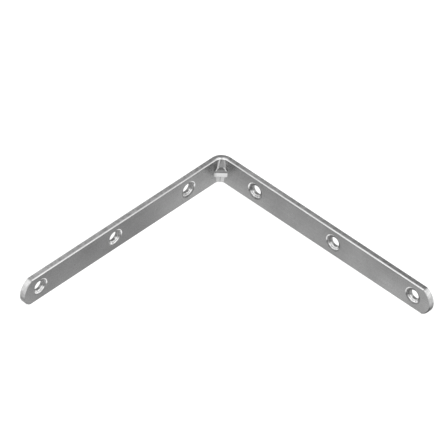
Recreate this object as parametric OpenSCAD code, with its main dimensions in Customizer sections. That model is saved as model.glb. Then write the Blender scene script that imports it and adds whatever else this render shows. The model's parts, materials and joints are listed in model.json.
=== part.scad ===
// Angle bracket: one strip of steel, folded to a right angle on a rounded bend.
// The legs run along +X and +Y and the strip stands on its edge, with its width along +Z.
// The outer faces are the planes x = 0 and y = 0, and they meet at the origin when drawn out.

/* [Strip] */
// Length of each leg, from the outside of the corner
leg_len = 152; // [120:1:260]
// Width of the strip
strip_w = 17; // [15:0.5:36]
// Thickness of the strip
strip_t = 3; // [2.2:0.1:4.5]
// Radius of the rolled edge that runs along the inside of the angle
roll_r = 0.65; // [0.2:0.05:0.9]

/* [Bend] */
// Inside radius of the bend
bend_r = 4; // [3:0.25:6]

/* [Ends] */
// Height of the arc that ends each leg
end_rise = 5.5; // [2:0.1:6.5]

/* [Holes] */
// Holes in each leg
hole_n = 3; // [2:1:4]
// First hole, from the outside of the corner
first_hole = 28; // [24:1:40]
// Last hole, from the end of the leg
last_hole = 12; // [9:0.5:20]
// Bore of each hole
bore_d = 6; // [4.5:0.1:7]
// Countersink across its rim, on the inner face
rim_d = 10; // [8.5:0.1:12]
// Angle of the countersink from side to side
rim_angle = 120; // [90:5:125]

/* [Corner rib] */
// Reach of the rib along each inner face, from the inner corner
rib_reach = 5.1; // [5:0.1:7]
// Height of the rib's blunt nose
nose_h = 3.7; // [3:0.1:4.5]
// Rounding of the nose
nose_r = 0.5; // [0.3:0.1:1.2]
// Hollow radius of the rib's flanks
flank_r = 2.5; // [1.8:0.1:3.2]
// How far the neck above and below the flanks stands out of the bend
neck_out = 0.4; // [0.2:0.05:0.6]
// Height of the rib's middle line above the lower edge
rib_z = 7.3; // [7:0.1:8.5]
// Height of the mouth of the dimple that the press leaves behind the rib
dimple_h = 5.6; // [5:0.1:6.2]
// Rounding of the dimple's sides
dimple_r = 7.5; // [6.5:0.1:8.5]
// Wall between the rib's nose and the bottom of the dimple
rib_wall = 3.5; // [3.2:0.1:4.2]

/* [Hidden] */
$fn = 96;
// Cuts run past the surface that they open by this much
over = 1;
// The rib's flanks and the ends of its neck start this far under the surface that they come out of
sunk = 0.05;
steel = "#a3a4a5";
// A leg's straight part starts where the bend ends
bend_end = strip_t + bend_r;
// The end arc has this rise over a chord of one strip width
end_r = (strip_w * strip_w / 4 + end_rise * end_rise) / (2 * end_rise);
hole_pitch = (leg_len - first_hole - last_hole) / (hole_n - 1);
rim_r = rim_d / 2;
bore_r = bore_d / 2;
rim_deep = (rim_r - bore_r) / tan(rim_angle / 2);
// Distances along the line that halves the angle, measured from the outer corner
outer_mid = bend_end * sqrt(2) - bend_end;
inner_mid = bend_end * sqrt(2) - bend_r;
nose_front = (2 * strip_t + rib_reach) / sqrt(2);
nose_mid = nose_front - nose_r;
rib_root = (outer_mid + inner_mid) / 2;
neck_front = inner_mid + neck_out;
// Each flank is an arc around this point, above or below the rib's middle line
flank_mid = neck_front - sunk + flank_r;
flank_z = nose_h / 2 - nose_r + sqrt(pow(flank_r + nose_r, 2) - pow(flank_mid - nose_mid, 2));
// Flank and nose share a tangent here
meet = nose_mid + (flank_mid - nose_mid) * nose_r / (flank_r + nose_r);
// Each side of the dimple is an arc around this point, one mouth's height above or below the middle line
dimple_mid = outer_mid + sqrt(pow(dimple_r, 2) - pow(dimple_h / 2, 2));

// Section of the strip: thickness along x from the outer face, width along y
module strip_section() {
    flat_w = strip_w - 2 * roll_r;
    square([strip_t - roll_r, strip_w]);
    translate([0, roll_r]) square([strip_t, flat_w]);
    for (y = [roll_r, strip_w - roll_r])
        translate([strip_t - roll_r, y]) circle(r = roll_r);
}

// The leg along +X, before its end is shaped
module straight_leg() {
    translate([bend_end, 0, 0])
        rotate([90, 0, 90]) linear_extrude(height = leg_len - bend_end) strip_section();
}

// A disc whose inner rim is rolled like the edges of the strip
module end_disc() {
    translate([leg_len - end_r, 0, strip_w / 2]) rotate([-90, 0, 0]) rotate_extrude() {
        square([end_r - roll_r, strip_t]);
        square([end_r, strip_t - roll_r]);
        translate([end_r - roll_r, strip_t - roll_r]) circle(r = roll_r);
    }
}

// One leg: the straight strip up to the end arc, closed by the disc
module leg() {
    intersection() {
        straight_leg();
        union() {
            cube([leg_len - end_r, strip_t, strip_w]);
            end_disc();
        }
    }
}

// The leg along +Y mirrors the leg along +X
module both_legs() {
    for (flip = [0, 1])
        mirror([flip, -flip, 0]) children();
}

// The bend: the strip's section turned through 90 degrees
module bend() {
    translate([bend_end, bend_end, 0]) rotate_extrude(angle = 90, start = 180)
        translate([bend_end, 0]) mirror([1, 0]) strip_section();
}

// Outline of one half hole, from its axis: depth along y from the inner face, downwards
module hole_outline() {
    polygon([
        [0, over], [rim_r + over, over], [rim_r, 0],
        [bore_r, -rim_deep], [bore_r, -strip_t - over], [0, -strip_t - over]
    ]);
}

// The holes of the leg along +X, countersunk from its inner face
module leg_holes() {
    for (i = [0 : hole_n - 1])
        translate([first_hole + i * hole_pitch, strip_t, strip_w / 2])
            rotate([-90, 0, 0]) rotate_extrude() hole_outline();
}

// Side outline between two arcs, x along the line that halves the angle and y up
module flanked_outline(from, to, mid, up, side_r) {
    difference() {
        translate([from, -up]) square([to - from, 2 * up]);
        for (side = [-1, 1])
            translate([mid, side * up]) circle(r = side_r);
    }
}

// Neck of the rib: it runs out under the upper rolled edge and stops short of the lower one
module neck_outline() {
    top = strip_w - roll_r - rib_z;
    foot = roll_r - rib_z;
    polygon([
        [rib_root, foot], [inner_mid - sunk, foot], [neck_front, foot + neck_out + sunk],
        [neck_front, flank_z], [inner_mid - sunk, top], [rib_root, top]
    ]);
}

// Blunt nose of the rib, in front of where it meets the flanks
module nose_outline() {
    flat_h = nose_h - 2 * nose_r;
    intersection() {
        union() {
            translate([nose_mid - nose_r, -flat_h / 2]) square([2 * nose_r, flat_h]);
            for (side = [-1, 1])
                translate([nose_mid, side * flat_h / 2]) circle(r = nose_r);
        }
        translate([meet, -nose_h]) square([nose_front, 2 * nose_h]);
    }
}

// Stands a side outline upright at the rib's height and stretches it through both legs
module across_corner() {
    translate([0, 0, rib_z]) rotate([0, 0, 45]) rotate([90, 0, 0])
        linear_extrude(height = 4 * nose_front, center = true) children();
}

// The rib pressed into the corner: it runs from leg to leg and ends inside their walls
module rib() {
    intersection() {
        across_corner() {
            neck_outline();
            flanked_outline(rib_root, meet, flank_mid, flank_z, flank_r);
            nose_outline();
        }
        translate([strip_t / 2, strip_t / 2, 0]) cube([nose_front * 2, nose_front * 2, strip_w]);
    }
}

// The dimple that the press leaves behind the rib
module dimple() {
    across_corner()
        flanked_outline(dimple_mid - dimple_r, nose_front - rib_wall, dimple_mid, dimple_h, dimple_r);
}

module bracket() {
    color(steel) difference() {
        union() {
            both_legs() leg();
            bend();
            rib();
        }
        both_legs() leg_holes();
        dimple();
    }
}

bracket();
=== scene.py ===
"""Dresses the angle bracket: the folded strip with its rib, its steel finishes, the stage and the camera."""

import json
import math

import bmesh
import bpy
from mathutils import Matrix, Vector


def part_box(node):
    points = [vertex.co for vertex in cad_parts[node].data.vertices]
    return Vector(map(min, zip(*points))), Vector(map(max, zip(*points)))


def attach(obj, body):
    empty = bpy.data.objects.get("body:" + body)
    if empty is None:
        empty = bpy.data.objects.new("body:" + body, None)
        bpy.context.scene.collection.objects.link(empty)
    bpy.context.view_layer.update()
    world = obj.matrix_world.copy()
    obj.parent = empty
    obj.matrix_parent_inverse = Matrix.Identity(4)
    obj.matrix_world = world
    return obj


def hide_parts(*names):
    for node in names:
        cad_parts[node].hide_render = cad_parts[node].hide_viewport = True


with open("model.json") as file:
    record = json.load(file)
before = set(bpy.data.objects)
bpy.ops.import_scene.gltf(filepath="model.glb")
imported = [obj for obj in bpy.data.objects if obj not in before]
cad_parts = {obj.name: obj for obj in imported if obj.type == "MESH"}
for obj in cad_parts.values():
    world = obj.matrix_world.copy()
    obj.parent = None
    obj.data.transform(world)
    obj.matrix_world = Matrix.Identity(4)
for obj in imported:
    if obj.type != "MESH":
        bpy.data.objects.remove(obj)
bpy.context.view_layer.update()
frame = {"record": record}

bl_info = {
    "name": "Angle Bracket Dresser",
    "version": (1, 0, 0),
    "blender": (4, 5, 0),
    "location": "View3D > Sidebar > Bracket",
    "description": "Models a folded steel angle bracket with its pressed rib, countersunk holes and finishes",
    "category": "Object",
}

MM = 0.001
NODE = "bracket"
BODY = "root"
STRIP_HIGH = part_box(NODE)[1]
ROOT2 = math.sqrt(2)
WHITE = (1.0, 1.0, 1.0, 1.0)

# Two places closer than this are the same place
SAME = 0.001 * MM
# How far a point may lie off the face that it is on, and how far the middle of a facet round the bend may
POINT_SLACK, FACET_SLACK = 0.02 * MM, 0.2 * MM
# The rolled edge as a share of its radius, with a little slack
JUST_OVER = 1.01

# Steps of the mesh: along the rolled and the outer edges, along each end's arc, and round each hole
ROLL_STEPS, BURR_STEPS, END_STEPS, HOLE_STEPS = 4, 2, 40, 96
# Points of a countersink's lip, as shares of its arc, whose first part would only leave slivers on the face
LIP_SHARES = (0.3, 0.5, 0.7, 0.85, 1.0)

# Material slots of the strip
FACE, ROLLED, SHEARED, HOLE = range(4)
# Name of the attribute that holds the way along the strip, the depth from its outer face and the height
STRIP_ATTRIBUTE = "strip"
# Name of the attribute that holds the painted light and shade on the rib, with the brightness that the press
# has rubbed into its nose
RUB_AND_LIGHT_ATTRIBUTE = "rubbed"
# Name of the attribute that holds a point's way from its hole's axis: away from the corner, and up
HOLE_ATTRIBUTE = "around_hole"

# How painted light and shade change a finish along the strip: pairs of a way from the middle of the bend, in
# millimetres, and a factor. Ways on the leg along Y are below zero.
# Painted light on the faces: they are brightest at the bend, and the leg along X is darker, in painted shade
FACE_PAINTED_LIGHT = (
    (-150, 1.12), (-110, 1.06), (-70, 0.9), (-32, 1.0), (-5, 1.25), (5, 1.3), (32, 1.0), (44, 0.84),
    (60, 0.72), (82, 0.67), (100, 0.73), (115, 0.79), (135, 0.77), (150, 0.9))
# Painted highlight on the rolled edge: brightest on both sides of the bend, and darker in its very middle
ROLLED_PAINTED_HIGHLIGHT = (
    (-150, 1.03), (-100, 0.98), (-60, 0.89), (-12, 0.86), (-5, 0.9), (-3.4, 1.3), (-1, 1.25), (0.2, 0.5),
    (1.4, 1.3), (3.2, 1.3), (4.6, 0.84), (12, 0.82), (50, 0.79), (92, 0.88), (132, 0.98), (150, 0.96))
# Painted light on the sheared edge: darker round the bend, with a painted highlight on the rounded ends
SHEARED_PAINTED_LIGHT = (
    (-144.5, 1.45), (-143.5, 0.62), (-90, 0.8), (-20, 0.98), (0, 0.74), (20, 1.05), (80, 1.1),
    (143.5, 1.35), (144.5, 1.5))
# Painted shade on the lower sheared faces and the lower part of each rounded end, darker on the leg along Y
LOWER_PAINTED_SHADE = ((-150, 0.2), (150, 0.45))
# Painted light on the cones: those of the leg along X are brighter
CONE_PAINTED_LIGHT = ((-20, 1.0), (20, 1.45))

# Painted light and shade on the rib, with the press's rubbing on its nose: 1 is bright, 0 is as the face, and
# below 0 is dark. The rib's nose, rubbed bright by the press and given a painted highlight, the row under its
# upper edge, and how much less bright both are towards the leg along X
NOSE, NOSE_TOP, NOSE_DIMMING = 0.95, 0.3, 0.6
# Painted light on the foot, on the side of the leg along X and on the other side, and the line of painted
# shade between them
FOOT_X, FOOT_Y, FOOT_SHADE_LINE = 0.5, 0.65, 1.2
# Painted shade on the band over the nose and on the flanks, and painted highlight on the flanks' borders
OVER_NOSE, FLANK, FLANK_BORDER = -0.55, -0.58, 0.5
# Painted shade on the neck, a painted highlight down each of its sides, and the wedge of painted shade that
# hangs from its upper edge
NECK, NECK_LINE, NECK_FAINT_LINE, NECK_WEDGE = -0.14, 0.8, 0.35, 0.6
# Painted light on the bend beside the rib: brightness, then place and width across the corner in millimetres
BESIDE_PAINTED_LIGHT = ((0.22, 4.0, 1.5), (0.35, -3.0, 1.2))


def linear(hex_colour):
    """An sRGB hex colour as linear red, green, blue and alpha."""
    channels = [int(hex_colour[i:i + 2], 16) / 255 for i in (1, 3, 5)]
    return [c / 12.92 if c <= 0.04045 else ((c + 0.055) / 1.055) ** 2.4 for c in channels] + [1.0]


def length(name, description, default_mm):
    """A size property, given in millimetres."""
    return bpy.props.FloatProperty(
        name=name, description=description, default=default_mm * MM, min=0.0, precision=5,
        subtype="DISTANCE", unit="LENGTH")


def angle(name, description, default_deg):
    """An angle property, given in degrees."""
    return bpy.props.FloatProperty(
        name=name, description=description, default=math.radians(default_deg),
        subtype="ANGLE", unit="ROTATION")


def colour(name, description, hex_colour):
    """A colour property, given as sRGB hex."""
    return bpy.props.FloatVectorProperty(
        name=name, description=description, default=linear(hex_colour), size=4, min=0.0, max=1.0,
        subtype="COLOR")


def number(name, description, default):
    """A plain number property."""
    return bpy.props.FloatProperty(name=name, description=description, default=default, min=0.0, max=100.0)


class BracketSizes(bpy.types.PropertyGroup):
    """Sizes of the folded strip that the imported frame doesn't state."""

    thickness: length("Thickness", "Thickness of the strip", 3.0)
    bend: length("Bend", "Inside radius of the bend", 4.0)
    end_rise: length("End rise", "Height of the arc that ends each leg", 5.5)
    roll: length("Rolled edge", "Radius that rolling leaves on the inside edges", 0.65)
    swell: length("Swollen edge", "Width that the rolled edge grows by where the bend squeezes it", 0.45)
    burr: length("Outer edge", "Break on the outside edges", 0.14)
    rim: length("Rim", "Countersink diameter on the inner face", 10.0)
    rim_angle: angle("Rim angle", "Angle of the countersink from side to side", 120.0)
    rim_round: length("Rim rounding", "Radius on which the countersink rolls into the face", 0.8)
    rib_reach: length("Rib reach", "Reach of the rib along each inner face", 5.1)
    neck: length("Rib neck", "How far the rib's neck stands out of the bend above and below the nose", 0.55)
    neck_top: length("Neck top", "How far the neck still stands out under the upper rolled edge", 0.15)
    nose: length("Rib nose", "Height of the rib's blunt nose", 3.7)
    nose_round: length("Nose rounding", "Rounding of the nose", 0.5)
    flank: length("Rib flank", "Hollow radius of the rib's flanks", 2.5)
    rib_height: length("Rib height", "Height of the rib's middle line", 7.3)
    dimple_mouth: length("Dimple mouth", "Height of the mouth of the dimple behind the rib", 5.6)
    dimple: length("Dimple side", "Rounding of the sides of the dimple", 7.5)
    rib_wall: length("Rib wall", "Wall between the rib's nose and the dimple behind it", 3.5)
    blend: length("Press blend", "Width over which the rib blends into the legs", 0.3)
    grid: length("Press grid", "Mesh spacing around the rib", 0.2)
    pressed: length("Pressed zone", "Length of leg that the press may move, from the bend", 5.0)
    sharp: angle("Sharp edge", "Angle between two faces from which their edge is shaded sharp", 28.0)


class BracketColours(bpy.types.PropertyGroup):
    """Colours of the steel finishes and of the stage."""

    face: colour("Satin face", "Tumbled face of the strip", "#8a8a8a")
    # Also the colour of the painted highlights on the rib and in the holes
    burnish_and_highlight: colour("Burnished steel", "Steel rubbed bright by a roller, the press or a punch", "#d6d6d6")
    sheared: colour("Sheared edge", "Cut edge of the strip", "#9c9c9c")
    # Painted shade on the lip of the countersinks, on the side away from its painted highlight
    rim_painted_shade: colour("Rolled rim", "Rounded lip of the countersinks", "#727272")
    # Painted shade on the countersink's cone, on the side away from its painted highlight
    cone_painted_shade: colour("Dull cone", "Side of the countersink that the punch hasn't rubbed", "#6a6a6a")
    torn: colour("Torn steel", "Dull rough break in the lower part of the punched holes", "#808080")
    floor: colour("Floor", "Pale floor of the stage", "#a8a8a8")


class BracketStage(bpy.types.PropertyGroup):
    """Where the camera stands and how bright the lights are."""

    target: bpy.props.FloatVectorProperty(
        name="Target", description="Point that the camera turns about", size=3,
        default=(53.2 * MM, 53.2 * MM, 7.6 * MM), precision=5, subtype="TRANSLATION", unit="LENGTH")
    azimuth: angle("Azimuth", "Camera's way round the object", 129.915)
    elevation: angle("Elevation", "Camera's height over the horizon", 41.481)
    roll: angle("Roll", "Camera's turn about its own axis", 4.786)
    distance: length("Distance", "Camera's distance from the target", 2814.3)
    left: length("Left", "How far the camera stands left of the target", 2.69)
    above: length("Above", "How far the camera stands above the target", 20.456)
    lens: bpy.props.FloatProperty(
        name="Lens", description="Focal length on a 36 mm sensor", default=440.65, unit="CAMERA")
    box_light: number("Softboxes", "Radiance of the softboxes", 1.5)
    box_distance: length("Softbox distance", "Way from the object to each softbox", 1200.0)
    sky: number("Sky", "Brightness of the room", 0.8)
    glow: number("Floor glow", "Light that the lit board gives", 0.75)
    floor_reach: length("Floor reach", "Half the side of the floor", 3000.0)


class Strip:
    """The strip's plain shape: where its faces are before the press moves them."""

    def __init__(self, sizes):
        self.thick = sizes.thickness
        self.wide = STRIP_HIGH.z
        self.leg = STRIP_HIGH.x
        self.bend = sizes.bend
        self.bend_end = sizes.thickness + sizes.bend
        self.end_round = (self.wide ** 2 / 4 + sizes.end_rise ** 2) / (2 * sizes.end_rise)
        self.roll = sizes.roll
        self.swell = sizes.swell
        self.pressed_end = self.bend_end + sizes.pressed

    def depth(self, point):
        """Distance from the outer face."""
        x, y = point.x, point.y
        if x < self.bend_end and y < self.bend_end:
            return self.bend_end - math.hypot(x - self.bend_end, y - self.bend_end)
        return min(x, y)

    def along(self, point):
        """Way along the strip's middle, from the middle of the bend, positive on the leg along X."""
        x, y = point.x, point.y
        if x < self.bend_end and y < self.bend_end:
            turn = math.atan2(self.bend_end - y, self.bend_end - x) - math.pi / 4
            return turn * (self.bend + self.thick / 2)
        arc = math.pi / 4 * (self.bend + self.thick / 2)
        return arc + x - self.bend_end if x > y else -arc - (y - self.bend_end)

    def inwards(self, point):
        """Direction straight out of the inner face."""
        x, y = self.bend_end - point.x, self.bend_end - point.y
        if x > 0 and y > 0:
            return Vector((x, y, 0.0)).normalized()
        return Vector((1.0, 0.0, 0.0)) if point.x < point.y else Vector((0.0, 1.0, 0.0))

    def roll_width(self, point):
        """Width of the rolled edge: it is widest in the middle of the bend."""
        arc = math.pi / 2 * self.bend_end
        return self.roll + self.swell * max(0.0, 1 - (self.along(point) / arc) ** 2) ** 2

    def by_long_edge(self, height):
        """Whether a height is within the rolled edges."""
        edge = self.roll * JUST_OVER
        return height < edge or height > self.wide - edge

    def in_pressed_zone(self, point, slack=0.0):
        """Whether a point is in the corner that the press may move."""
        return max(point.x, point.y) < self.pressed_end + slack


def close(a, b, slack=SAME):
    """Whether two lengths are the same, within a slack."""
    return abs(a - b) < slack


def swept(bm, loop, offset, steps=1):
    """Extrudes an open loop of edges along a straight way and gives the new loop."""
    for _ in range(steps):
        made = bmesh.ops.extrude_edge_only(bm, edges=loop)["geom"]
        moved = [item for item in made if isinstance(item, bmesh.types.BMVert)]
        bmesh.ops.translate(bm, verts=moved, vec=Vector(offset) / steps)
        ends = set(moved)
        loop = [item for item in made if isinstance(item, bmesh.types.BMEdge) and set(item.verts) <= ends]
    return loop


def folded_strip(bm, strip, sizes):
    """The section goes down one leg, round the bend and out along the other."""
    corners = ((0, 0), (strip.thick, 0), (strip.thick, strip.wide), (0, strip.wide))
    verts = [bm.verts.new((strip.leg, y, z)) for y, z in corners]
    loop = [bm.edges.new((verts[i], verts[(i + 1) % 4])) for i in range(4)]
    first = list(loop)
    pressed_steps = round(sizes.pressed / sizes.grid)
    plain = strip.leg - strip.bend_end - sizes.pressed
    loop = swept(bm, loop, (-plain, 0, 0))
    loop = swept(bm, loop, (-sizes.pressed, 0, 0), pressed_steps)
    turned = bmesh.ops.spin(
        bm, geom=loop + list({v for e in loop for v in e.verts}), cent=(strip.bend_end, strip.bend_end, 0),
        axis=(0, 0, -1), angle=math.pi / 2, steps=round(math.pi / 2 * strip.bend / sizes.grid),
        use_merge=False, use_normal_flip=False, use_duplicate=False)["geom_last"]
    loop = [item for item in turned if isinstance(item, bmesh.types.BMEdge)]
    loop = swept(bm, loop, (0, sizes.pressed, 0), pressed_steps)
    loop = swept(bm, loop, (0, plain, 0))
    for ring in (first, loop):
        bmesh.ops.contextual_create(bm, geom=ring)
    bmesh.ops.recalc_face_normals(bm, faces=bm.faces)


def rounded_ends(bm, strip):
    """The square ends become arcs over the strip's width."""
    for axis in (0, 1):
        upright = [
            edge for edge in bm.edges
            if all(close(v.co[axis], strip.leg) for v in edge.verts)
            and not close(edge.verts[0].co.z, edge.verts[1].co.z)]
        bmesh.ops.subdivide_edges(bm, edges=upright, cuts=END_STEPS, use_grid_fill=True)
        half_turn = math.asin(strip.wide / 2 / strip.end_round)
        for vert in [v for v in bm.verts if close(v.co[axis], strip.leg)]:
            turn = (2 * vert.co.z / strip.wide - 1) * half_turn
            vert.co.z = strip.wide / 2 + strip.end_round * math.sin(turn)
            vert.co[axis] = strip.leg - strip.end_round * (1 - math.cos(turn))


def broken_edges(bm, strip, sizes):
    """The inside edges are rolled round and the outside ones keep a small break."""
    for level, radius, steps in ((strip.thick, sizes.roll, ROLL_STEPS), (0.0, sizes.burr, BURR_STEPS)):
        picked = []
        for edge in bm.edges:
            on_face = all(close(strip.depth(v.co), level, POINT_SLACK) for v in edge.verts)
            flat = [close(strip.depth(face.calc_center_median()), level, FACET_SLACK)
                    and abs(face.normal.z) < 0.5 for face in edge.link_faces]
            if on_face and len(flat) == 2 and flat[0] != flat[1]:
                picked.append(edge)
        bmesh.ops.bevel(
            bm, geom=picked, offset=radius, offset_type="OFFSET", segments=steps, profile=0.5,
            affect="EDGES", clamp_overlap=False, material=-1, loop_slide=True)


def swollen_edges(bm, strip):
    """The bend squeezes the inside edges, so their rolled round grows wider there."""
    for vert in bm.verts:
        inside = strip.thick - strip.depth(vert.co)
        wider = strip.roll_width(vert.co) / strip.roll - 1
        if strip.by_long_edge(vert.co.z) and 0 < inside < strip.roll * JUST_OVER and wider > 0:
            vert.co -= strip.inwards(vert.co) * inside * wider


def blended(a, b, width):
    """The larger of two values, with a soft change from one to the other."""
    share = min(1.0, max(0.0, 0.5 + (a - b) / (2 * width)))
    return b + (a - b) * share + width * share * (1 - share)


class Press:
    """Side outline of the rib and of the dimple behind it, as distances from the outer corner."""

    def __init__(self, strip, sizes):
        self.height = sizes.rib_height
        self.half = sizes.nose / 2
        self.round = sizes.nose_round
        self.flank = sizes.flank
        self.blend = sizes.blend
        self.bend = strip.bend
        self.bend_mid = strip.bend_end * ROOT2 - strip.bend
        self.neck = self.bend_mid + sizes.neck
        self.neck_top = self.bend_mid + sizes.neck_top
        self.top = strip.wide - sizes.roll - sizes.rib_height
        self.foot = sizes.roll - sizes.rib_height
        self.front = (2 * strip.thick + sizes.rib_reach) / ROOT2
        self.nose_mid = self.front - self.round
        self.flank_mid = self.neck + self.flank
        reach = self.flank + self.round
        self.flank_up = self.half - self.round + math.sqrt(reach ** 2 - (self.flank_mid - self.nose_mid) ** 2)
        self.meet_up = self.half - self.round + (self.flank_up - self.half + self.round) * self.round / reach
        self.side = sizes.dimple
        self.bottom = self.front - sizes.rib_wall
        self.side_up = sizes.dimple_mouth
        outer_mid = strip.bend_end * (ROOT2 - 1)
        self.side_mid = outer_mid + math.sqrt(self.side ** 2 - (self.side_up / 2) ** 2)

    def bend_surface(self, across):
        """How far out the bend's inner surface is, beside the line that halves the angle."""
        if abs(across) >= self.bend:
            return 0.0
        return self.bend_mid + self.bend - math.sqrt(self.bend ** 2 - across ** 2)

    def rib(self, up):
        """How far out the rib stands at a height from its middle line."""
        if up > self.flank_up:
            share = (up - self.flank_up) / (self.top - self.flank_up)
            return self.neck + (self.neck_top - self.neck) * min(1.0, share)
        if up < -self.flank_up:
            return min(self.neck, self.bend_mid + (up - self.foot))
        up = abs(up)
        if up <= self.half - self.round:
            return self.front
        if up <= self.meet_up:
            over = up - (self.half - self.round)
            return self.nose_mid + math.sqrt(max(0.0, self.round ** 2 - over ** 2))
        return self.flank_mid - math.sqrt(self.flank ** 2 - (up - self.flank_up) ** 2)

    def dimple(self, up):
        """How far in the dimple goes at a height from the rib's middle line."""
        up = abs(up)
        if up >= self.side_up:
            return self.side_mid - self.side
        side = self.side_mid - math.sqrt(max(0.0, self.side ** 2 - (up - self.side_up) ** 2))
        return -blended(-side, -self.bottom, self.blend)


def pressed_rib(bm, strip, sizes):
    """The press pushes the corner's faces out along the line that halves the angle."""
    press = Press(strip, sizes)
    upright = [
        edge for edge in bm.edges
        if all(strip.in_pressed_zone(v.co, SAME) for v in edge.verts)
        and abs(edge.verts[0].co.z - edge.verts[1].co.z) > strip.wide / 2]
    bmesh.ops.subdivide_edges(bm, edges=upright, cuts=round(strip.wide / sizes.grid), use_grid_fill=True)
    for vert in bm.verts:
        if not strip.in_pressed_zone(vert.co, -SAME) or strip.by_long_edge(vert.co.z):
            continue
        depth = strip.depth(vert.co)
        up = vert.co.z - press.height
        out = (vert.co.x + vert.co.y) / ROOT2
        if close(depth, strip.thick, 10 * SAME):
            moved = blended(out, press.rib(up), press.blend)
        elif close(depth, 0.0, 10 * SAME):
            moved = blended(out, press.dimple(up), press.blend)
        else:
            continue
        vert.co += Vector((1, 1, 0)) * (moved - out) / ROOT2


def punched_holes():
    """Place, direction out of the inner face and bore of each hole, from the record's mounts."""
    holes = []
    for mount in frame["record"]["mounts"]:
        if mount["kind"] not in ("bolt_pattern", "bore"):
            continue
        dims = mount["dims"]
        bore = (dims.get("hole_r_mm") or dims["r_mm"]) * MM
        place, out = Vector(mount["pos_m"]), Vector(mount["axis"])
        way = Vector((out.y, out.x, 0))
        place -= out * place.dot(out)
        half = dims.get("spacing_x_mm", 0.0) * MM / 2
        for shift in ((-half, half) if half else (0.0,)):
            holes.append((place + way * shift, out, bore))
    if not holes:
        raise RuntimeError("The record names no hole in the bracket")
    return holes


def hole_outline(strip, sizes, bore):
    """Half outline of the tool that makes a hole: distance from its axis and height over the inner face."""
    slope = math.pi / 2 - sizes.rim_angle / 2
    rim, roll = sizes.rim / 2, sizes.rim_round
    # The lip is an arc, tangent to the face and to the countersink
    middle = rim + roll * math.tan(slope / 2)
    lip = [(middle - roll * math.sin(turn), roll * (math.cos(turn) - 1))
           for turn in (slope * share for share in LIP_SHARES)]
    over = sizes.rim_round
    top = lip[0][1] + over * math.tan(LIP_SHARES[0] * slope)
    return [(0.0, top), (lip[0][0] + over, top), *lip] + [
        (bore, -(rim - bore) * math.tan(slope)),
        # The tool crosses the outer face on a slope, with no corner on it, so that the cut leaves no slivers
        (bore, sizes.burr - strip.thick),
        (bore + sizes.burr + over, -strip.thick - over),
        (0.0, -strip.thick - over),
    ]


def mesh_object(name, bm):
    """An object made from a bmesh, which is freed."""
    mesh = bpy.data.meshes.new(name)
    bm.to_mesh(mesh)
    bm.free()
    made = bpy.data.objects.new(name, mesh)
    bpy.context.scene.collection.objects.link(made)
    return made


def hole_tools(strip, sizes, holes):
    """One spun tool for each hole."""
    bm = bmesh.new()
    for place, out, bore in holes:
        verts = [bm.verts.new((r, 0, up)) for r, up in hole_outline(strip, sizes, bore)]
        edges = [bm.edges.new(pair) for pair in zip(verts, verts[1:])]
        bmesh.ops.spin(
            bm, geom=verts + edges, cent=(0, 0, 0), axis=(0, 0, 1), angle=2 * math.pi, steps=HOLE_STEPS,
            use_merge=True, use_normal_flip=False, use_duplicate=False)
        # The tools that already are in their places are tagged
        spun = [v for v in bm.verts if not v.tag]
        turned = out.to_track_quat("Z", "X").to_matrix().to_4x4()
        bmesh.ops.transform(bm, matrix=Matrix.Translation(place + out * strip.thick) @ turned, verts=spun)
        for vert in spun:
            vert.tag = True
    bmesh.ops.remove_doubles(bm, verts=bm.verts, dist=SAME / 10)
    bmesh.ops.recalc_face_normals(bm, faces=bm.faces)
    return mesh_object("hole_tools", bm)


def cut_away(context, piece, tools):
    """Takes the tools' shapes out of the piece and drops the tools."""
    cut = piece.modifiers.new("holes", "BOOLEAN")
    cut.operation = "DIFFERENCE"
    cut.solver = "EXACT"
    cut.object = tools
    graph = context.evaluated_depsgraph_get()
    mesh = bpy.data.meshes.new_from_object(piece.evaluated_get(graph))
    piece.modifiers.clear()
    old, piece.data = piece.data, mesh
    for spare in (old, tools.data):
        bpy.data.meshes.remove(spare)
    if not mesh.polygons:
        raise RuntimeError("The holes could not be cut")


def around_hole(point, holes, reach):
    """Way from a hole's axis to a point in it, away from the corner and up, or None outside the holes."""
    for place, out, _ in holes:
        off = point - place
        off -= out * off.dot(out)
        if off.length < reach:
            return Vector((off.x + off.y, off.z, 0.0))
    return None


def finish_of(face, strip, sizes, in_hole):
    """Which finish a face has, from where it is and which way it looks."""
    centre = face.center
    depth = strip.depth(centre)
    end = max(centre.x, centre.y) > strip.leg - sizes.end_rise
    rim = centre.z < sizes.roll or centre.z > strip.wide - sizes.roll
    inside = strip.thick - SAME > depth
    if in_hole:
        return HOLE if inside and depth > SAME else FACE
    if not inside or depth < sizes.burr:
        return FACE
    if rim and not end and depth > strip.thick - strip.roll_width(centre):
        return ROLLED
    return SHEARED if rim or end else FACE


def bump_of(value, middle_mm, width_mm):
    """A soft bump: 1 in the middle, fading over its width."""
    return math.exp(-((value - middle_mm * MM) / (width_mm * MM)) ** 2)


def painted_light_beside(across):
    """Soft painted light on the bend beside the rib."""
    return sum(bright * bump_of(across, middle, width) for bright, middle, width in BESIDE_PAINTED_LIGHT)


def painted_light_on_neck(across, up, press):
    """Painted highlight in a bright line down one side of the neck and a faint one down the other, with
    painted shade between them.
    """
    side = math.sqrt(press.bend ** 2 - (press.bend + press.bend_mid - press.rib(up)) ** 2) / MM
    lines = (NECK_LINE * bump_of(across, side - 0.2, 0.4)
             + NECK_FAINT_LINE * bump_of(across, -side, 0.3))
    if abs(across) >= (side + 0.2) * MM:
        return lines + painted_light_beside(across)
    # Painted shade: a dark wedge hangs from the neck's upper edge
    wedge_long = 3.4 * MM
    share = max(0.0, 1 - (press.top - up) / wedge_long)
    wedge = NECK_WEDGE * share ** 0.5 * bump_of(across, 0.8 - 0.45 * share, 0.15 + 0.25 * share)
    return lines - wedge + NECK


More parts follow.
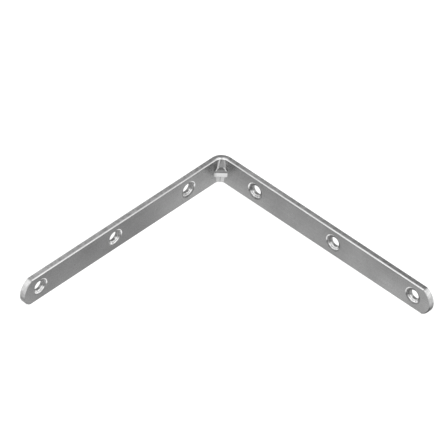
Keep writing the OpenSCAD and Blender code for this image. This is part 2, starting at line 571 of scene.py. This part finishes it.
def rubbed(point, strip, press):
    """Painted light and shade on the rib, with the brightness that the press has rubbed into its nose: up to
    1 on its nose and foot, below 0 where it is in painted shade.
    """
    out = (point.x + point.y) / ROOT2
    across = (point.x - point.y) / ROOT2
    up = point.z - press.height
    depth = strip.depth(point)
    # How far the point stands out of the plain corner
    proud = out - max(press.bend_surface(across), abs(across) + strip.thick * ROOT2)
    near, proud_enough = 0.1 * MM, 0.06 * MM
    if press.flank_up < up < press.top and depth > strip.thick - near:
        return painted_light_on_neck(across, up, press)
    if out < press.bend_mid - near or proud < proud_enough:
        on_bend = press.half < up <= press.flank_up and depth > strip.thick / 2
        return painted_light_beside(across) if on_bend else 0.0
    # Painted light on the foot, different on each side, with a line of painted shade between the sides
    if up < -press.half:
        return (FOOT_X if across > 0 else FOOT_Y) * (1 - FOOT_SHADE_LINE * bump_of(across, 0.0, 0.25))
    # The nose, rubbed bright by the press and with a painted highlight, is less bright under its top and
    # towards the leg along X
    flat_top = press.half - press.round
    if up < flat_top - near:
        dim_from, dim_over, top_row = 2.0 * MM, 1.5 * MM, 0.5 * MM
        nose_dimmed = NOSE_DIMMING * min(1.0, max(0.0, (across - dim_from) / dim_over))
        return (NOSE if up < flat_top - top_row else NOSE_TOP) - nose_dimmed
    # Painted shade over the nose and on the flanks, with a painted highlight on the flanks' borders
    band, border = 0.2 * MM, 0.4 * MM
    if up < press.half + band:
        return OVER_NOSE
    return FLANK_BORDER if proud < border else FLANK


def finish_zones(mesh, strip, sizes, holes):
    """Gives each face its finish, and each point its place on the unfolded strip."""
    hole_reach = sizes.rim / 2 + sizes.rim_round
    for face in mesh.polygons:
        face.use_smooth = True
        face.material_index = finish_of(face, strip, sizes, around_hole(face.center, holes, hole_reach))
    mesh.set_sharp_from_angle(angle=sizes.sharp)
    mesh.attributes.new(STRIP_ATTRIBUTE, "FLOAT_VECTOR", "POINT")
    mesh.attributes.new(RUB_AND_LIGHT_ATTRIBUTE, "FLOAT", "POINT")
    mesh.attributes.new(HOLE_ATTRIBUTE, "FLOAT_VECTOR", "POINT")
    # Looked up only now, because a new attribute moves the older ones
    places, rubs_and_light, arounds = (
        mesh.attributes[name].data for name in (STRIP_ATTRIBUTE, RUB_AND_LIGHT_ATTRIBUTE, HOLE_ATTRIBUTE))
    press = Press(strip, sizes)
    for vert, place, rub_and_light, around in zip(mesh.vertices, places, rubs_and_light, arounds):
        around.vector = around_hole(vert.co, holes, hole_reach) or Vector()
        place.vector = (strip.along(vert.co), strip.depth(vert.co), vert.co.z)
        if strip.in_pressed_zone(vert.co):
            rub_and_light.value = rubbed(vert.co, strip, press)


def add(tree, kind, sockets=None, **fields):
    """Adds a node with its settings, then sets or links its inputs."""
    made = tree.nodes.new(kind)
    for name, value in fields.items():
        setattr(made, name, value)
    for name, value in (sockets or {}).items():
        if isinstance(value, bpy.types.NodeSocket):
            tree.links.new(value, made.inputs[name])
        else:
            made.inputs[name].default_value = value
    return made


def each(size_mm):
    """Pattern scale for features of this size."""
    return 1 / (size_mm * MM)


def metal(name, roughness):
    """A bare metal material and its node tree, shader and strip coordinates."""
    material = bpy.data.materials.new(name)
    material.use_nodes = True
    tree = material.node_tree
    shader = tree.nodes["Principled BSDF"]
    shader.inputs["Metallic"].default_value = 1.0
    shader.inputs["Roughness"].default_value = roughness
    place = add(tree, "ShaderNodeAttribute", attribute_name=STRIP_ATTRIBUTE).outputs["Vector"]
    return material, tree, shader, place


def shaded(tree, tone, pattern, span, shades):
    """A tone times the shade that a pattern gives: its span of values is turned into a span of shades."""
    shade = add(tree, "ShaderNodeMapRange", {
        "Value": pattern, "From Min": span[0], "From Max": span[1],
        "To Min": shades[0], "To Max": shades[1]}).outputs[0]
    return add(tree, "ShaderNodeMath", {0: tone, 1: shade}, operation="MULTIPLY").outputs[0]


def along_strip(tree, place, drift):
    """A factor that changes along the strip as one of the drifts says."""
    reach = STRIP_HIGH.x
    way = add(tree, "ShaderNodeSeparateXYZ", {0: place}).outputs["X"]
    share = add(tree, "ShaderNodeMapRange", {"Value": way, "From Min": -reach, "From Max": reach}).outputs[0]
    ramp = add(tree, "ShaderNodeValToRGB", {"Fac": share})
    for _ in range(len(drift) - 2):
        ramp.color_ramp.elements.new(0.5)
    # A ramp's colours end at 1, so it holds half the factors
    for stop, (at_mm, factor) in zip(ramp.color_ramp.elements, drift):
        stop.position = (at_mm * MM / reach + 1) / 2
        stop.color = (factor / 2,) * 3 + (1.0,)
    return add(tree, "ShaderNodeMath", {0: ramp.outputs[0], 1: 2.0}, operation="MULTIPLY").outputs[0]


def tumbled_steel(colours):
    """Cold rolled strip, tumbled and bright plated: an even satin grey with faint lengthwise rolling lines,
    cloudy patches and small knocks, with painted light and shade along the strip, down the face and on the
    rib, and rubbed bright by the press on the rib's nose."""
    material, tree, shader, place = metal("tumbled steel", 0.25)
    clouds = add(tree, "ShaderNodeTexNoise", {"Vector": place, "Scale": each(26), "Detail": 3.0}).outputs[0]
    # The real rolling lines and the grain of the tumbled skin are too fine to show, so both are drawn coarser
    stretched = add(tree, "ShaderNodeMapping", {
        "Vector": place, "Scale": (each(18), each(0.6), each(0.6))}).outputs[0]
    lines = add(tree, "ShaderNodeTexNoise", {"Vector": stretched, "Scale": 1.0, "Detail": 2.0}).outputs[0]
    grain = add(tree, "ShaderNodeTexNoise", {"Vector": place, "Scale": each(0.4), "Detail": 2.0}).outputs[0]
    knocks = add(tree, "ShaderNodeTexVoronoi", {"Vector": place, "Scale": each(9)}).outputs["Distance"]
    height = add(tree, "ShaderNodeSeparateXYZ", {0: place}).outputs["Z"]
    middle = STRIP_HIGH.z / 2
    off_middle = add(tree, "ShaderNodeMath", {0: height, 1: middle}, operation="SUBTRACT").outputs[0]
    off_middle = add(tree, "ShaderNodeMath", {0: off_middle}, operation="ABSOLUTE").outputs[0]
    # Painted light and shade on the rib, with the press's rubbing on its nose
    rub_and_light = add(tree, "ShaderNodeAttribute", attribute_name=RUB_AND_LIGHT_ATTRIBUTE).outputs["Fac"]
    # Painted light and shade along the strip set the faces' tone
    tone = along_strip(tree, place, FACE_PAINTED_LIGHT)
    # Each row: a pattern, a span of its values, and the shades at the two ends of the span
    for pattern, span, shades in (
        (clouds, (0.3, 0.7), (0.84, 1.1)),
        (lines, (0.3, 0.7), (0.95, 1.05)),
        (knocks, (0.02, 0.07), (0.72, 1.0)),
        # Painted shade: a darker line along the face beside each long edge
        (off_middle, (middle - 1.3 * MM, middle - 0.9 * MM), (1.0, 0.85)),
        # Painted light from the floor below: the face is brighter towards its lower edge and darker towards
        # its upper one
        (height, (0.0, STRIP_HIGH.z), (1.13, 0.87)),
        # Painted shade on the rib, where the attribute is below 0
        (rub_and_light, (-1.0, 0.0), (0.0, 1.0)),
    ):
        tone = shaded(tree, tone, pattern, span, shades)
    plain = add(tree, "ShaderNodeVectorMath", {
        0: colours.face[:3], "Scale": tone}, operation="SCALE").outputs[0]
    # Painted highlights on the rib, and its nose rubbed bright by the press, take the bright steel's colour
    base = add(tree, "ShaderNodeMix", {0: rub_and_light, 6: plain, 7: colours.burnish_and_highlight}, data_type="RGBA").outputs[2]
    tree.links.new(base, shader.inputs["Base Color"])
    gloss = add(tree, "ShaderNodeMapRange", {
        "Value": grain, "From Min": 0.4, "From Max": 0.6, "To Min": 0.22, "To Max": 0.5}).outputs[0]
    tree.links.new(gloss, shader.inputs["Roughness"])
    bump = add(tree, "ShaderNodeBump", {"Height": grain, "Strength": 0.1, "Distance": 0.02 * MM})
    tree.links.new(bump.outputs[0], shader.inputs["Normal"])
    return material


def burnished_steel(colours):
    """Steel rubbed smooth between rollers: brighter and glossier than the faces, with lengthwise streaks,
    drawn coarser than the real ones, which are too fine to show, and a painted highlight that changes along
    the strip."""
    material, tree, shader, place = metal("burnished steel", 0.3)
    stretched = add(tree, "ShaderNodeMapping", {
        "Vector": place, "Scale": (each(7), each(0.4), each(0.4))}).outputs[0]
    streaks = add(tree, "ShaderNodeTexNoise", {"Vector": stretched, "Scale": 1.0, "Detail": 2.0}).outputs[0]
    # Painted highlight along the rolled edge
    tone = shaded(tree, along_strip(tree, place, ROLLED_PAINTED_HIGHLIGHT), streaks, (0.3, 0.7), (0.85, 1.05))
    base = add(tree, "ShaderNodeVectorMath", {
        0: colours.burnish_and_highlight[:3], "Scale": tone}, operation="SCALE").outputs[0]
    tree.links.new(base, shader.inputs["Base Color"])
    return material


def sheared_steel(colours):
    """Edge cut in a shear: rough and dull, with short marks straight across the thickness, drawn coarser
    than the real ones, which are a few tenths of a millimetre wide."""
    material, tree, shader, place = metal("sheared steel", 0.45)
    across = add(tree, "ShaderNodeMapping", {
        "Vector": place, "Scale": (each(1.7), each(2.6), each(2.6))}).outputs[0]
    marks = add(tree, "ShaderNodeTexNoise", {"Vector": across, "Scale": 1.0, "Detail": 3.0}).outputs[0]
    # Painted light along the sheared edge
    tone = shaded(tree, along_strip(tree, place, SHEARED_PAINTED_LIGHT), marks, (0.3, 0.7), (0.76, 1.26))
    # Painted shade: the lower sheared faces and the lower part of each rounded end are darker
    height = add(tree, "ShaderNodeSeparateXYZ", {0: place}).outputs["Z"]
    tone = shaded(tree, tone, height, (7.0 * MM, 11.0 * MM), (along_strip(tree, place, LOWER_PAINTED_SHADE), 1.0))
    base = add(tree, "ShaderNodeVectorMath", {
        0: colours.sheared[:3], "Scale": tone}, operation="SCALE").outputs[0]
    tree.links.new(base, shader.inputs["Base Color"])
    bump = add(tree, "ShaderNodeBump", {"Height": marks, "Strength": 0.4, "Distance": 0.05 * MM})
    tree.links.new(bump.outputs[0], shader.inputs["Normal"])
    return material


def hole_steel(colours, sizes):
    """Countersunk and punched hole. The lip has a painted highlight on its upper side, towards the corner,
    and painted shade on its other side. The cone has a painted highlight on its lower side, where it looks
    up, and painted shade on its other side, and the break under it is dull and rough."""
    material, tree, shader, place = metal("countersunk steel", 0.35)
    depth = add(tree, "ShaderNodeSeparateXYZ", {0: place}).outputs["Y"]
    around = add(tree, "ShaderNodeAttribute", attribute_name=HOLE_ATTRIBUTE).outputs["Vector"]
    way = add(tree, "ShaderNodeVectorMath", {0: around}, operation="NORMALIZE").outputs[0]
    ragged = add(tree, "ShaderNodeTexNoise", {"Vector": place, "Scale": each(1.1), "Detail": 2.0}).outputs[0]
    # The borders between the zones wander by up to this much
    wander = 0.4 * MM
    level = add(tree, "ShaderNodeMath", {0: ragged, 1: wander, 2: depth}, operation="MULTIPLY_ADD").outputs[0]
    # Painted light: the cones of the leg along X are brighter
    cone_tone = along_strip(tree, place, CONE_PAINTED_LIGHT)
    cone = add(tree, "ShaderNodeVectorMath", {
        0: colours.cone_painted_shade[:3], "Scale": cone_tone}, operation="SCALE").outputs[0]
    face_level = sizes.thickness + wander / 2
    base = colours.torn
    # Each zone: the way from the axis to its side with the painted highlight, where that side starts and is
    # full, how bright it gets, the colour of its other side, in painted shade, and the depths in millimetres
    # where it ends and is full
    for towards, spread, most, dull, end_mm, full_mm in (
        ((0.0, -1.0, 0.0), (0.35, 0.8), 1.0, cone, 1.55, 1.4),
        ((-0.78, 0.63, 0.0), (0.5, 0.9), 0.78, colours.rim_painted_shade, 0.36, 0.28),
    ):
        facing = add(tree, "ShaderNodeVectorMath", {
            0: way, 1: towards}, operation="DOT_PRODUCT").outputs["Value"]
        bright = add(tree, "ShaderNodeMapRange", {
            "Value": facing, "From Min": spread[0], "From Max": spread[1], "To Max": most},
            interpolation_type="SMOOTHSTEP").outputs[0]
        tint = add(tree, "ShaderNodeMix", {
            0: bright, 6: dull, 7: colours.burnish_and_highlight}, data_type="RGBA").outputs[2]
        inside = add(tree, "ShaderNodeMapRange", {
            "Value": level, "From Min": face_level - end_mm * MM,
            "From Max": face_level - full_mm * MM}).outputs[0]
        base = add(tree, "ShaderNodeMix", {0: inside, 6: base, 7: tint}, data_type="RGBA").outputs[2]
    # Turning marks round the hole, drawn coarser than the real ones, and stains
    turns = 2 * math.pi * each(0.5)
    wave = add(tree, "ShaderNodeMath", {0: level, 1: turns}, operation="MULTIPLY").outputs[0]
    wave = add(tree, "ShaderNodeMath", {0: wave}, operation="SINE").outputs[0]
    tone = shaded(tree, 1.0, wave, (-1.0, 1.0), (0.75, 1.3))
    tone = shaded(tree, tone, ragged, (0.38, 0.62), (0.75, 1.2))
    base = add(tree, "ShaderNodeVectorMath", {0: base, "Scale": tone}, operation="SCALE").outputs[0]
    tree.links.new(base, shader.inputs["Base Color"])
    grit = add(tree, "ShaderNodeTexNoise", {"Vector": place, "Scale": each(0.6), "Detail": 3.0}).outputs[0]
    bump = add(tree, "ShaderNodeBump", {"Height": grit, "Strength": 0.3, "Distance": 0.05 * MM})
    tree.links.new(bump.outputs[0], shader.inputs["Normal"])
    return material


class OBJECT_OT_bracket_strip(bpy.types.Operator):
    """Models the folded strip with its rib and holes, and gives it its steel finishes"""

    bl_idname = "object.bracket_strip"
    bl_label = "Folded strip"

    def execute(self, context):
        sizes, colours = context.scene.bracket_sizes, context.scene.bracket_colours
        strip = Strip(sizes)
        holes = punched_holes()
        bm = bmesh.new()
        folded_strip(bm, strip, sizes)
        rounded_ends(bm, strip)
        broken_edges(bm, strip, sizes)
        swollen_edges(bm, strip)
        pressed_rib(bm, strip, sizes)
        piece = mesh_object("folded_strip", bm)
        cut_away(context, piece, hole_tools(strip, sizes, holes))
        finish_zones(piece.data, strip, sizes, holes)
        # In the order of the slots FACE, ROLLED, SHEARED and HOLE
        for material in (
            tumbled_steel(colours), burnished_steel(colours),
            sheared_steel(colours), hole_steel(colours, sizes),
        ):
            piece.data.materials.append(material)
        level = piece.modifiers.new("even shading", "WEIGHTED_NORMAL")
        level.mode = "FACE_AREA"
        level.weight = 100
        level.keep_sharp = True
        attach(piece, BODY)
        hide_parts(NODE)
        return {"FINISHED"}


class OBJECT_OT_bracket_stage(bpy.types.Operator):
    """Sets up the pale floor, the soft lights and the camera"""

    bl_idname = "object.bracket_stage"
    bl_label = "Stage"

    def execute(self, context):
        scene = context.scene
        scene.view_settings.view_transform = "Standard"
        make_floor(scene)
        make_lights(scene)
        make_camera(scene)
        return {"FINISHED"}


def make_floor(scene):
    """A matt white board, lit until it is nearly white."""
    bm = bmesh.new()
    bmesh.ops.create_grid(bm, x_segments=1, y_segments=1, size=scene.bracket_stage.floor_reach)
    floor = mesh_object("floor", bm)
    material = bpy.data.materials.new("matt white board")
    material.use_nodes = True
    shader = material.node_tree.nodes["Principled BSDF"]
    shader.inputs["Base Color"].default_value = scene.bracket_colours.floor
    shader.inputs["Roughness"].default_value = 0.9
    shader.inputs["Emission Color"].default_value = WHITE
    shader.inputs["Emission Strength"].default_value = scene.bracket_stage.glow
    floor.data.materials.append(material)


def make_lights(scene):
    """A bright room, and three softboxes round the object."""
    stage = scene.bracket_stage
    world = bpy.data.worlds.new("studio")
    world.use_nodes = True
    room = world.node_tree.nodes["Background"]
    room.inputs["Color"].default_value = WHITE
    room.inputs["Strength"].default_value = stage.sky
    scene.world = world
    # Direction from the object, width and height in metres, and share of the softboxes' radiance
    for name, direction, wide, high, share in (
        ("softbox left", (0.75, -0.48, 0.60), 1.3, 0.8, 0.8),
        ("softbox right", (-0.57, 0.72, 0.55), 1.3, 0.8, 0.8),
        ("softbox front", (0.42, 0.51, 0.75), 1.1, 1.2, 1.0),
    ):
        light = bpy.data.lights.new(name, "AREA")
        light.shape = "RECTANGLE"
        light.size, light.size_y = wide, high
        light.energy = stage.box_light * share * math.pi * wide * high
        lamp = bpy.data.objects.new(name, light)
        towards = Vector(direction).normalized()
        turned = towards.to_track_quat("Z", "Y").to_matrix().to_4x4()
        lamp.matrix_world = Matrix.Translation(towards * stage.box_distance) @ turned
        scene.collection.objects.link(lamp)


def make_camera(scene):
    """The camera stands where the photograph was taken from."""
    stage = scene.bracket_stage
    azimuth, elevation, roll = stage.azimuth, stage.elevation, stage.roll
    back = Vector((
        math.sin(azimuth) * math.cos(elevation),
        -math.cos(azimuth) * math.cos(elevation),
        math.sin(elevation)))
    level = Vector((math.cos(azimuth), math.sin(azimuth), 0))
    upright = back.cross(level)
    right = math.cos(roll) * level + math.sin(roll) * upright
    up = back.cross(right)
    data = bpy.data.cameras.new("camera")
    data.sensor_width = 36.0
    data.lens = stage.lens
    camera = bpy.data.objects.new("camera", data)
    place = stage.target + back * stage.distance - right * stage.left + up * stage.above
    camera.matrix_world = Matrix.Translation(place) @ Matrix((right, up, back)).transposed().to_4x4()
    scene.collection.objects.link(camera)
    scene.camera = camera


class VIEW3D_PT_bracket(bpy.types.Panel):
    """Sizes, colours and steps of the bracket"""

    bl_idname = "VIEW3D_PT_bracket"
    bl_label = "Bracket"
    bl_space_type = "VIEW_3D"
    bl_region_type = "UI"
    bl_category = "Bracket"

    def draw(self, context):
        layout = self.layout
        for operator in (OBJECT_OT_bracket_strip, OBJECT_OT_bracket_stage):
            layout.operator(operator.bl_idname)
        for group in GROUPS:
            values = getattr(context.scene, group)
            for name in values.__annotations__:
                layout.prop(values, name)


GROUPS = {"bracket_sizes": BracketSizes, "bracket_colours": BracketColours, "bracket_stage": BracketStage}
CLASSES = (*GROUPS.values(), OBJECT_OT_bracket_strip, OBJECT_OT_bracket_stage, VIEW3D_PT_bracket)


def register():
    """Registers the classes and gives the scene their sizes, colours and stage."""
    for cls in CLASSES:
        bpy.utils.register_class(cls)
    for name, group in GROUPS.items():
        setattr(bpy.types.Scene, name, bpy.props.PointerProperty(type=group))


def unregister():
    """Takes back all that register gave."""
    for name in GROUPS:
        delattr(bpy.types.Scene, name)
    for cls in reversed(CLASSES):
        bpy.utils.unregister_class(cls)


def main():
    """Makes the bracket and its stage."""
    register()
    bpy.ops.object.bracket_strip()
    bpy.ops.object.bracket_stage()


if __name__ == "__main__":
    main()
